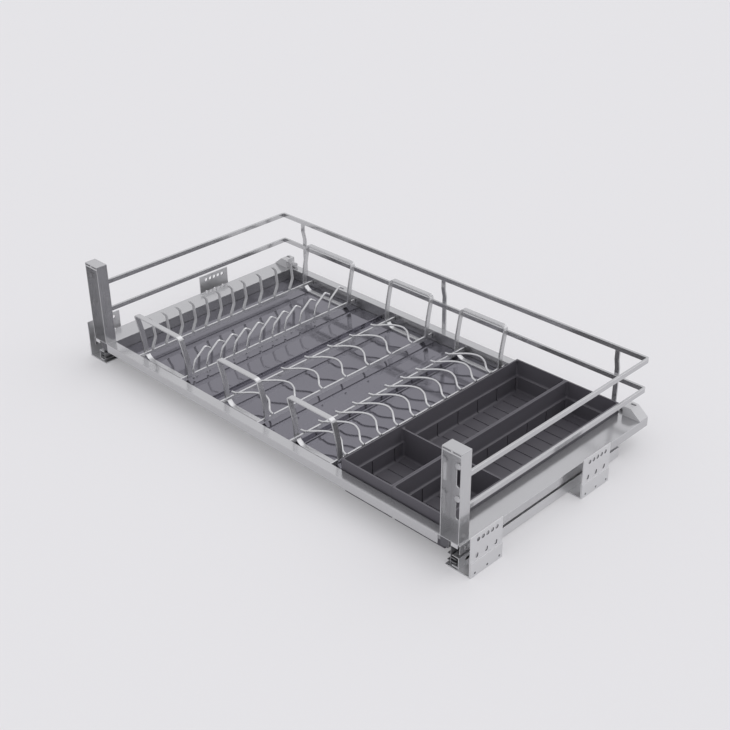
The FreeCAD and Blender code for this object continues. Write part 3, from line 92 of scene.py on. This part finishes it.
forward = Vector((
    -math.sin(HEADING) * math.cos(DOWN_TILT),
    math.cos(HEADING) * math.cos(DOWN_TILT),
    -math.sin(DOWN_TILT),
))
level_right = Vector((math.cos(HEADING), math.sin(HEADING), 0))
level_up = level_right.cross(forward)
camera_right = level_right * math.cos(ROLL) + level_up * math.sin(ROLL)
camera_up = level_up * math.cos(ROLL) - level_right * math.sin(ROLL)

bpy.ops.object.select_all(action="DESELECT")
bpy.ops.object.camera_add(location=EYE)
camera = bpy.context.object
axes = Matrix((camera_right, camera_up, -forward)).transposed()
camera.rotation_euler = axes.to_euler()
camera.data.sensor_width = SENSOR_MM
camera.data.lens = FOCAL_PX / IMAGE_SIDE_PX * SENSOR_MM
camera.data.clip_end = FAR_LIMIT
bpy.context.scene.camera = camera
print("lens in mm:", round(camera.data.lens, 2))

# %% [markdown]
# ## Grain, shared by every metal
# Stainless strip is ground along its length, so it shows fine lines in one direction. A stretched
# noise makes them, and a slow noise adds the clouds that handling leaves. The group takes a
# direction as a scale on each axis and puts out both masks. Each material uses them for its own
# tone, for its roughness and for a very low bump.

# %% Grain group
def new_group(name, inputs, outputs):
    """An empty shader node group with float or vector sockets."""
    group = bpy.data.node_groups.new(name, "ShaderNodeTree")
    for label, kind, value in inputs:
        socket = group.interface.new_socket(label, in_out="INPUT", socket_type=kind)
        socket.default_value = value
    for label, kind in outputs:
        group.interface.new_socket(label, in_out="OUTPUT", socket_type=kind)
    return group, group.nodes.new("NodeGroupInput"), group.nodes.new("NodeGroupOutput")


def add(tree, kind, **settings):
    """A node with its properties and input values set by name."""
    node = tree.nodes.new(kind)
    for key, value in settings.items():
        if hasattr(node, key):
            setattr(node, key, value)
        else:
            node.inputs[key.replace("_", " ")].default_value = value
    return node


grain_group, grain_in, grain_out = new_group(
    "Ground steel grain",
    [("Stretch", "NodeSocketVector", (1, 1, 1))],
    [("Lines", "NodeSocketFloat"), ("Clouds", "NodeSocketFloat")],
)
spot = add(grain_group, "ShaderNodeTexCoord")
stretched = add(grain_group, "ShaderNodeVectorMath", operation="MULTIPLY")
lines = add(grain_group, "ShaderNodeTexNoise", Scale=1.0, Detail=3.0, Roughness=0.6)
clouds = add(grain_group, "ShaderNodeTexNoise", Scale=9.0, Detail=4.0, Roughness=0.55)
grain_group.links.new(spot.outputs["Object"], stretched.inputs[0])
grain_group.links.new(grain_in.outputs["Stretch"], stretched.inputs[1])
grain_group.links.new(stretched.outputs["Vector"], lines.inputs["Vector"])
grain_group.links.new(spot.outputs["Object"], clouds.inputs["Vector"])
grain_group.links.new(lines.outputs["Fac"], grain_out.inputs["Lines"])
grain_group.links.new(clouds.outputs["Fac"], grain_out.inputs["Clouds"])
print("grain group:", len(grain_group.nodes), "nodes")

# %% [markdown]
# ## One recipe for every surface
# Metal and plastic share one recipe: the tone drifts between two values with the clouds, the
# roughness follows one of the two masks, and the fine lines give a very low relief. The finishes
# below differ only in the values that they hand to it.

# %% Surface recipe
RELIEF_DEPTH = 0.2 * MM
MIX_FIRST, MIX_SECOND, MIX_RESULT = 6, 7, 2


def surface(name, dark, light, rough, rough_spread, rough_mask, stretch, relief):
    """A material between two tones, with a roughness range and a fine relief."""
    material = bpy.data.materials.new(name)
    material.use_nodes = True
    tree = material.node_tree
    shader = tree.nodes["Principled BSDF"]
    grain = add(tree, "ShaderNodeGroup", node_tree=grain_group)
    grain.inputs["Stretch"].default_value = stretch
    tone = add(tree, "ShaderNodeMix", data_type="RGBA")
    tone.inputs[MIX_FIRST].default_value = (*dark, 1)
    tone.inputs[MIX_SECOND].default_value = (*light, 1)
    gloss = add(
        tree, "ShaderNodeMapRange", To_Min=rough - rough_spread, To_Max=rough + rough_spread
    )
    bump = add(tree, "ShaderNodeBump", Strength=relief, Distance=RELIEF_DEPTH)
    tree.links.new(grain.outputs["Clouds"], tone.inputs[0])
    tree.links.new(tone.outputs[MIX_RESULT], shader.inputs["Base Color"])
    tree.links.new(grain.outputs[rough_mask], gloss.inputs["Value"])
    tree.links.new(gloss.outputs["Result"], shader.inputs["Roughness"])
    tree.links.new(grain.outputs["Lines"], bump.inputs["Height"])
    tree.links.new(bump.outputs["Normal"], shader.inputs["Normal"])
    return material


print("surface recipe ready")

# %% [markdown]
# ## Metal finishes
# Satin sheet, polished wire, the tinted drip tray and the zinc-plated slides differ in tone, in
# roughness and in the direction of their grain. A fine film of oil and dust scatters some light on
# worked steel, so the metallic share is a little under one, and dark reflections stay grey.

# %% Metals
METALLIC_SHARE = 0.78
BLUE_SHARE = 0.01
ALONG_X = (20, 700, 700)
ALONG_Y = (700, 20, 700)
ALONG_Z = (700, 700, 20)
EVEN = (260, 260, 260)


def grey(level):
    """A steel grey with a trace of blue."""
    return (level, level, level + BLUE_SHARE)


def metal(name, dark, light, stretch, rough, rough_spread=0.03, relief=0.03):
    """A metal whose roughness follows the lines of its grain."""
    material = surface(name, dark, light, rough, rough_spread, "Lines", stretch, relief)
    shader = material.node_tree.nodes["Principled BSDF"]
    shader.inputs["Metallic"].default_value = METALLIC_SHARE
    return material


sheet_tones = (grey(0.53), grey(0.58))
sheet_along_x = metal("Sheet steel along X", *sheet_tones, ALONG_X, rough=0.17)
sheet_along_y = metal("Sheet steel along Y", *sheet_tones, ALONG_Y, rough=0.17)
sheet_along_z = metal("Sheet steel along Z", *sheet_tones, ALONG_Z, rough=0.20)
pan_steel = metal("Pan steel", grey(0.40), grey(0.44), ALONG_Y, rough=0.24)
strip = metal("Handle strip", grey(0.55), grey(0.62), ALONG_Z, rough=0.26, rough_spread=0.04)
polished = metal("Polished wire", grey(0.62), grey(0.70), EVEN, rough=0.20, relief=0.02)
tinted = metal(
    "Tinted drip tray", (0.20, 0.195, 0.225), (0.23, 0.225, 0.255), ALONG_Y,
    rough=0.07, rough_spread=0.02, relief=0.01,
)
zinc = metal(
    "Zinc plate", grey(0.66), grey(0.70), EVEN, rough=0.32, rough_spread=0.02, relief=0.01
)
# The middle rails and ball cages sit in shade inside the slides, so their dark grey tone is painted
# shade.
shaded_inner_slide = metal("Inner slide in painted shade", grey(0.26), grey(0.34), EVEN, rough=0.34, relief=0.01)
# This dark steel serves the rivets, and it is also painted shade at the slides' front ends and in the
# brackets' screw holes.
dark_rivets_and_shade = metal(
    "Dark rivets and painted shade", grey(0.10), grey(0.16), EVEN, rough=0.35, rough_spread=0.05, relief=0.05
)
print("metals made")

# %% [markdown]
# ## Moulded plastic and coating
# The cutlery trays are matt grey with a fine spark-eroded texture, and the flat fingers have a pale
# soft coat that keeps plates from slipping. Their gloss follows the clouds in place of the lines.

# %% Plastics
PLASTIC_TEXTURE = (1800, 1800, 1800)
PLASTIC_ROUGH_SPREAD = 0.08
PLASTIC_RELIEF = 0.2


def moulded(name, dark, light, rough):
    """A moulded plastic with a fine even texture."""
    return surface(
        name, dark, light, rough, PLASTIC_ROUGH_SPREAD, "Clouds", PLASTIC_TEXTURE, PLASTIC_RELIEF
    )


grey_plastic = moulded(
    "Grey cutlery plastic", (0.096, 0.091, 0.106), (0.108, 0.103, 0.118), rough=0.50
)
pale_plastic = moulded("Pale block plastic", grey(0.52), grey(0.58), rough=0.40)
finger_coat = moulded("Pale finger coat", grey(0.50), grey(0.56), rough=0.45)
print("plastics made")

# %% [markdown]
# ## Real edges
# Sheet and bar never have a knife edge: each has a small round that catches the light as a thin
# bright line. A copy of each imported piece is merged, its flat faces are joined up again, and a
# bevel modifier rounds every edge sharper than thirty degrees. Weighted normals then keep the wide
# faces optically flat, which matters on mirror-like sheet. The copy then stands for the piece.

# %% Helpers for pieces
BEVEL_ABOVE = math.radians(30)
SMOOTH_BELOW = math.radians(40)
FLAT_WITHIN = math.radians(0.5)
MERGE_WITHIN = 0.005 * MM
BEVEL_SEGMENTS = 2


def only(piece):
    """Selects one object and makes it active."""
    bpy.ops.object.select_all(action="DESELECT")
    piece.hide_set(False)
    piece.select_set(True)
    bpy.context.view_layer.objects.active = piece


def clean(piece, turn_outward=False):
    """Merges doubles and joins flat faces; after cutting it also turns the faces outward."""
    only(piece)
    bpy.ops.object.mode_set(mode="EDIT")
    bpy.ops.mesh.select_all(action="SELECT")
    bpy.ops.mesh.remove_doubles(threshold=MERGE_WITHIN)
    bpy.ops.mesh.dissolve_limited(angle_limit=FLAT_WITHIN)
    if turn_outward:
        bpy.ops.mesh.normals_make_consistent(inside=False)
    bpy.ops.object.mode_set(mode="OBJECT")


def round_off(piece, edge_mm):
    """Rounds the sharp edges and keeps the wide faces flat to the eye."""
    only(piece)
    if edge_mm:
        bpy.ops.object.modifier_add(type="BEVEL")
        bevel = piece.modifiers[-1]
        bevel.width = edge_mm * MM
        bevel.segments = BEVEL_SEGMENTS
        bevel.limit_method = "ANGLE"
        bevel.angle_limit = BEVEL_ABOVE
        bpy.ops.object.modifier_apply(modifier=bevel.name)
    bpy.ops.object.shade_smooth_by_angle(angle=SMOOTH_BELOW)
    bpy.ops.object.modifier_add(type="WEIGHTED_NORMAL")
    flat = piece.modifiers[-1]
    flat.keep_sharp = True
    bpy.ops.object.modifier_apply(modifier=flat.name)


def hand_over(piece, node, material):
    """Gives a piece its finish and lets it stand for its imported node."""
    piece.name = node + "_dressed"
    piece.data.materials.clear()
    piece.data.materials.append(material)
    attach(piece, body_of_node[node])
    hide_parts(node)
    return piece


def dressed(node, material, edge_mm):
    """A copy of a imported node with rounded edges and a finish."""
    only(nodes[node])
    bpy.ops.object.duplicate()
    piece = bpy.context.object
    del piece["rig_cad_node"]
    clean(piece)
    round_off(piece, edge_mm)
    return hand_over(piece, node, material)


def block(name, low, high):
    """A box between two corners in metres, at its place in its own mesh."""
    low, high = Vector(low), Vector(high)
    bpy.ops.object.select_all(action="DESELECT")
    bpy.ops.mesh.primitive_cube_add(size=1, location=(low + high) / 2, scale=high - low)
    bpy.ops.object.transform_apply(location=True, rotation=True, scale=True)
    piece = bpy.context.object
    piece.name = name
    return piece


def joined(name, pieces):
    """Several objects as one mesh."""
    only(pieces[0])
    for piece in pieces[1:]:
        piece.select_set(True)
    if pieces[1:]:
        bpy.ops.object.join()
    pieces[0].name = name
    return pieces[0]


def cut_out(piece, rounds):
    """Takes cutters out of a piece, round by round; those of one round don't touch each other."""
    for cutters in rounds:
        tool = joined("cutter", cutters)
        only(piece)
        bpy.ops.object.modifier_add(type="BOOLEAN")
        cut = piece.modifiers[-1]
        cut.operation = "DIFFERENCE"
        cut.solver = "EXACT"
        cut.object = tool
        bpy.ops.object.modifier_apply(modifier=cut.name)
        only(tool)
        bpy.ops.object.delete()
    clean(piece, turn_outward=True)


print("helpers ready")

# %% [markdown]
# ## Sheet, bar and slides
# These pieces are folded, cut or welded from stock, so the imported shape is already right. Each gets
# the finish of its stock, with the grain along its length, and rounded edges as wide as its own
# folds. Both tables give the finish and that width in millimetres: the first for single nodes, the
# second for every node that has a word in its name, where the first word that fits counts.

# %% Sheet, bar and slides
finishes = {
    "front_profile": (sheet_along_x, 0.35),
    "rear_profile": (sheet_along_x, 0.35),
    "side_profile_left": (sheet_along_y, 0.35),
    "side_profile_right": (sheet_along_y, 0.35),
    "drip_tray": (tinted, 0.4),
    "bracket_rivets": (dark_rivets_and_shade, 0.0),
    "plate_rack_flat_fingers": (finger_coat, 0.3),
}
families = [
    ("post_hooks", zinc, 0.25),
    ("post_", sheet_along_z, 0.3),
    ("rail_support", sheet_along_z, 0.4),
    ("cabinet_rail", zinc, 0.15),
    # The middle rails and cages take the inner-slide tone, which is painted shade.
    ("middle_rail", shaded_inner_slide, 0.15),
    ("drawer_rail", zinc, 0.15),
    ("_cage", shaded_inner_slide, 0.0),
    ("bracket_", zinc, 0.15),
    ("front_clip", zinc, 0.3),
    ("lip_screws", zinc, 0.2),
    ("_wires", polished, 0.0),
    ("_prongs", polished, 0.0),
    ("_rod_", polished, 0.4),
    ("_handle_", strip, 0.45),
    ("_rail", sheet_along_x, 0.5),
    ("hook_block", pale_plastic, 0.6),
]


def finish_of(node):
    """The material and the edge width for a node, by its name."""
    if node in finishes:
        return finishes[node]
    return next(rest for word, *rest in families if word in node)


moulded_nodes = ["cutlery_tray_left", "cutlery_tray_right"]
cut_nodes = [*moulded_nodes, "tray_pan"]
for node in sorted(nodes):
    if node not in cut_nodes:
        material, edge = finish_of(node)
        dressed(node, material, edge)
print("dressed pieces:", len(nodes) - len(cut_nodes))

# %% [markdown]
# ## Painted shade in hollows
# Where one looks into a hollow, its walls lie in shade, so those faces get the dark finish as painted
# shade while the faces around keep their shine. This shows in two places: the front ends of the
# drawer's slides, just under the posts, and the walls of the screw holes in the brackets.

# %% Painted shade in hollows
SHADED_END_DEPTH = 4.0 * MM
PLATE_BORDER = 1.0 * MM
FACE_SHARE = 0.5


def darken(node, in_shade):
    """Gives the faces of a piece that pass a test the dark finish as painted shade, and counts them.
    """
    piece = bpy.data.objects[node + "_dressed"]
    piece.data.materials.append(dark_rivets_and_shade)
    shaded_faces = [face for face in piece.data.polygons if in_shade(face)]
    for face in shaded_faces:
        face.material_index = 1
    print(node, "dark faces:", len(shaded_faces))


def front_end_test(node):
    """A test for the faces at the front end of a piece, which get painted shade."""
    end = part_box(node)[0].y + SHADED_END_DEPTH
    return lambda face: face.center.y < end


def hole_test(node):
    """A test for the faces of a wall plate that lie in its holes and slots, which get painted shade.
    """
    low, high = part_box(node)

    def in_a_hole(face):
        """Whether a face stands across the plate and away from its outer edges."""
        inside_y = low.y + PLATE_BORDER < face.center.y < high.y - PLATE_BORDER
        inside_z = low.z + PLATE_BORDER < face.center.z < high.z - PLATE_BORDER
        return abs(face.normal.x) < FACE_SHARE and inside_y and inside_z

    return in_a_hole


# The slides' front ends are painted dark for the shade inside the slide, seen under the posts.
for node in ("drawer_rail_left", "drawer_rail_right"):
    darken(node, front_end_test(node))
# The walls of the brackets' screw holes are painted dark for the shade inside the holes.
for node in sorted(nodes):
    if node.startswith("bracket_plate"):
        darken(node, hole_test(node))

# %% [markdown]
# ## The pan
# One sheet makes the deep middle of the drawer. It is cut from a block: first its inside, then the
# opening in its floor that both cutlery trays hang through. The opening follows the trays' lower
# parts and leaves them a small gap all round.

# %% Pan
LEDGE = 3.0 * MM
PAN_GAUGE = 1.0 * MM
OPENING_GAP = 0.6 * MM
PAN_EDGE_MM = 0.2

pan_low, pan_high = (Vector(corner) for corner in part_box("tray_pan"))
first_tray = Vector(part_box("cutlery_tray_left")[0])
last_tray = Vector(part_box("cutlery_tray_right")[1])
rim = LEDGE - OPENING_GAP
pan = block("tray_pan", pan_low, pan_high)
inside = block(
    "inside",
    pan_low + Vector((PAN_GAUGE, PAN_GAUGE, PAN_GAUGE)),
    pan_high + Vector((-PAN_GAUGE, -PAN_GAUGE, PAN_GAUGE)),
)
opening = block(
    "opening",
    (first_tray.x + rim, first_tray.y + rim, pan_low.z - PAN_GAUGE),
    (last_tray.x - rim, last_tray.y - rim, pan_high.z),
)
cut_out(pan, [[inside], [opening]])
round_off(pan, PAN_EDGE_MM)
hand_over(pan, "tray_pan", pan_steel)
print("pan faces:", len(pan.data.polygons))

# %% [markdown]
# ## The cutlery trays
# Each tray is moulded in one piece and hangs in the pan's opening by a step in its outer walls.
# Inside, a narrow ledge runs round half-way down, with upright seams in the lining below it and
# shallow grooves across the floor. A cross wall parts the tray in two. A block is cut out step by
# step: the step outside, the mouth, the rooms above and below the ledge, the seams and the grooves.
# At the end its edges are rounded, as a mould leaves them.

# %% Cutlery tray sizes
WALL = 2.0 * MM
LEDGE_DROP = 29.0 * MM
CROSS_WALL_SETBACK = 123.9 * MM
CROSS_WALL = 3.0 * MM
CROSS_WALL_DROP = 6.5 * MM
ROOM_CORNER = 4.0 * MM
ROOM_CORNER_SEGMENTS = 4
TRAY_EDGE_MM = 0.3
SEAM_SETBACK = 57.0 * MM
SEAM_PITCH = 47.5 * MM
SEAM_WIDTH = 1.8 * MM
SEAM_DEPTH = 1.4 * MM
GROOVE_SETBACK = 58.5 * MM
GROOVE_PITCH = 24.3 * MM
GROOVE_WIDTH = 2.2 * MM
GROOVE_DEPTH = 1.0 * MM
GROOVE_END_GAP = 6.0 * MM
pan_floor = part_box("drip_tray")[0].z


# %% [markdown]
# ## Tools for cutting a tray
# The rooms need rounded upright corners, so their cutters are blocks whose four upright edges are
# bevelled first. Seams and grooves stand on one pitch along the whole tray, so each list of places
# is worked out once and then filtered for the room at hand.

# %% Tray cutters
def room_cutter(name, low, high, corner):
    """A block with its four upright edges rounded."""
    cutter = block(name, low, high)
    bpy.ops.object.mode_set(mode="EDIT")
    bpy.ops.mesh.select_all(action="DESELECT")
    bpy.ops.object.mode_set(mode="OBJECT")
    points = cutter.data.vertices
    for edge in cutter.data.edges:
        start, end = (points[index].co for index in edge.vertices)
        edge.select = abs(start.z - end.z) > corner
    bpy.ops.object.mode_set(mode="EDIT")
    bpy.ops.mesh.select_mode(type="EDGE")
    bpy.ops.mesh.bevel(offset=corner, segments=ROOM_CORNER_SEGMENTS)
    bpy.ops.mesh.select_mode(type="VERT")
    bpy.ops.object.mode_set(mode="OBJECT")
    return cutter


def places_between(first, pitch, low, high):
    """The places of a row at one pitch that fall between two ends."""
    count = int((high - first) / pitch) + 1
    row = [first + pitch * index for index in range(count)]
    return [place for place in row if low + WALL < place < high - WALL]


def step_cutters(low, high):
    """Two rounds of blocks that take the lower part of a tray back from its outer walls."""
    ring_low = low - Vector((WALL, WALL, WALL))
    ring_high = Vector((high.x + WALL, high.y + WALL, pan_floor))
    sides = [
        block("step_left", ring_low, (low.x + LEDGE, ring_high.y, pan_floor)),
        block("step_right", (high.x - LEDGE, ring_low.y, ring_low.z), ring_high),
    ]
    ends = [
        block("step_front", ring_low, (ring_high.x, low.y + LEDGE, pan_floor)),
        block("step_rear", (ring_low.x, high.y - LEDGE, ring_low.z), ring_high),
    ]
    return [sides, ends]


def detail_cutters(low, left, right, front, rear, tray_floor, ledge_top):
    """The seams in the walls below the ledge and the grooves in the floor of one room."""
    cutters = []
    for place in places_between(low.y + SEAM_SETBACK, SEAM_PITCH, front, rear):
        cutters.append(block(
            "seam",
            (left - SEAM_DEPTH, place - SEAM_WIDTH / 2, tray_floor),
            (right + SEAM_DEPTH, place + SEAM_WIDTH / 2, ledge_top - SEAM_WIDTH),
        ))
    for place in places_between(low.y + GROOVE_SETBACK, GROOVE_PITCH, front, rear):
        cutters.append(block(
            "groove",
            (left + GROOVE_END_GAP, place - GROOVE_WIDTH / 2, tray_floor - GROOVE_DEPTH),
            (right - GROOVE_END_GAP, place + GROOVE_WIDTH / 2, tray_floor + WALL),
        ))
    return cutters


# %% [markdown]
# ## Cutting both trays
# The two trays are equal. The front room and the rear room differ only in their ends: the ledge
# runs along three walls of each, and the cross wall between them is plain.

# %% Cutlery trays
def cutlery_tray(node):
    """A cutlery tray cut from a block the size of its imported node."""
    low, high = (Vector(corner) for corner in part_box(node))
    above = high.z + WALL
    ledge_top = high.z - LEDGE_DROP
    tray_floor = low.z + WALL
    left, right = low.x + WALL, high.x - WALL
    front, rear = low.y + WALL, high.y - WALL
    cross_front = low.y + CROSS_WALL_SETBACK
    cross_rear = cross_front + CROSS_WALL
    cross_top = high.z - CROSS_WALL_DROP
    well_left, well_right = left + LEDGE, right - LEDGE
    upper_rooms = [(front, cross_front), (cross_rear, rear)]
    lower_rooms = [(front + LEDGE, cross_front), (cross_rear, rear - LEDGE)]
    mouth = room_cutter("mouth", (left, front, cross_top), (right, rear, above), ROOM_CORNER)
    uppers = [
        room_cutter("upper_room", (left, start, ledge_top), (right, end, above), ROOM_CORNER)
        for start, end in upper_rooms
    ]
    lowers = []
    details = []
    for start, end in lower_rooms:
        lowers.append(room_cutter(
            "lower_room", (well_left, start, tray_floor), (well_right, end, above), ROOM_CORNER
        ))
        details += detail_cutters(low, well_left, well_right, start, end, tray_floor, ledge_top)
    tray = block(node, low, high)
    cut_out(tray, [*step_cutters(low, high), [mouth], uppers, lowers, details])
    round_off(tray, TRAY_EDGE_MM)
    return hand_over(tray, node, grey_plastic)


for node in moulded_nodes:
    tray = cutlery_tray(node)
    print(node, "faces:", len(tray.data.polygons))

# %% [markdown]
# ## The studio floor
# A pale matt floor fills the whole picture and keeps the rack's shadow. A small share of its tone
# is its own glow, seen by the camera and in reflections alone, which keeps that shadow pale.

# %% Studio floor
FLOOR_SIZE = 30.0
FLOOR_DROP = 0.4 * MM
FLOOR_ROUGHNESS = 0.9
FLOOR_TONE = (0.788, 0.782, 0.798, 1)
GLOW_SHARE = 0.31

bpy.ops.object.select_all(action="DESELECT")
bpy.ops.mesh.primitive_plane_add(size=FLOOR_SIZE, location=(0, 0, -FLOOR_DROP))
floor = bpy.context.object
floor.name = "studio_floor"
floor_paint = bpy.data.materials.new("Pale floor")
floor_paint.use_nodes = True
paint_tree = floor_paint.node_tree
matt = paint_tree.nodes["Principled BSDF"]
matt.inputs["Base Color"].default_value = FLOOR_TONE
matt.inputs["Roughness"].default_value = FLOOR_ROUGHNESS
glow = add(paint_tree, "ShaderNodeEmission", Color=FLOOR_TONE)
rays = add(paint_tree, "ShaderNodeLightPath")
seen = add(paint_tree, "ShaderNodeMath", operation="MAXIMUM")
share = add(paint_tree, "ShaderNodeMath", operation="MULTIPLY")
share.inputs[1].default_value = GLOW_SHARE
blend = add(paint_tree, "ShaderNodeMixShader")
paint_tree.links.new(rays.outputs["Is Camera Ray"], seen.inputs[0])
paint_tree.links.new(rays.outputs["Is Glossy Ray"], seen.inputs[1])
paint_tree.links.new(seen.outputs[0], share.inputs[0])
paint_tree.links.new(share.outputs[0], blend.inputs[0])
paint_tree.links.new(matt.outputs[0], blend.inputs[1])
paint_tree.links.new(glow.outputs[0], blend.inputs[2])
paint_tree.links.new(blend.outputs[0], paint_tree.nodes["Material Output"].inputs["Surface"])
floor.data.materials.append(floor_paint)
print("floor width in metres:", FLOOR_SIZE)

# %% [markdown]
# ## Light
# An even pale sky lights the rack from all round. One very wide soft sun stands high behind it and
# a little to its right, so the faint shadow falls in front.

# %% Light
SKY_TONE = (0.965, 0.962, 0.985, 1)
SKY_STRENGTH = 0.85
SUN_PLACE = (0.3, 0.8, 1.1)
SUN_STRENGTH = 0.64
SUN_WIDTH = math.radians(66)

world = bpy.data.worlds.new("Studio sky")
bpy.context.scene.world = world
world.use_nodes = True
sky = world.node_tree.nodes["Background"]
sky.inputs["Color"].default_value = SKY_TONE
sky.inputs["Strength"].default_value = SKY_STRENGTH

bpy.ops.object.light_add(type="SUN", location=SUN_PLACE)
key = bpy.context.object
key.data.energy = SUN_STRENGTH
key.data.angle = SUN_WIDTH
key.rotation_euler = (-key.location).to_track_quat("-Z", "Y").to_euler()

bpy.context.scene.view_settings.view_transform = "Standard"
print("sky strength:", SKY_STRENGTH, "sun strength:", SUN_STRENGTH)
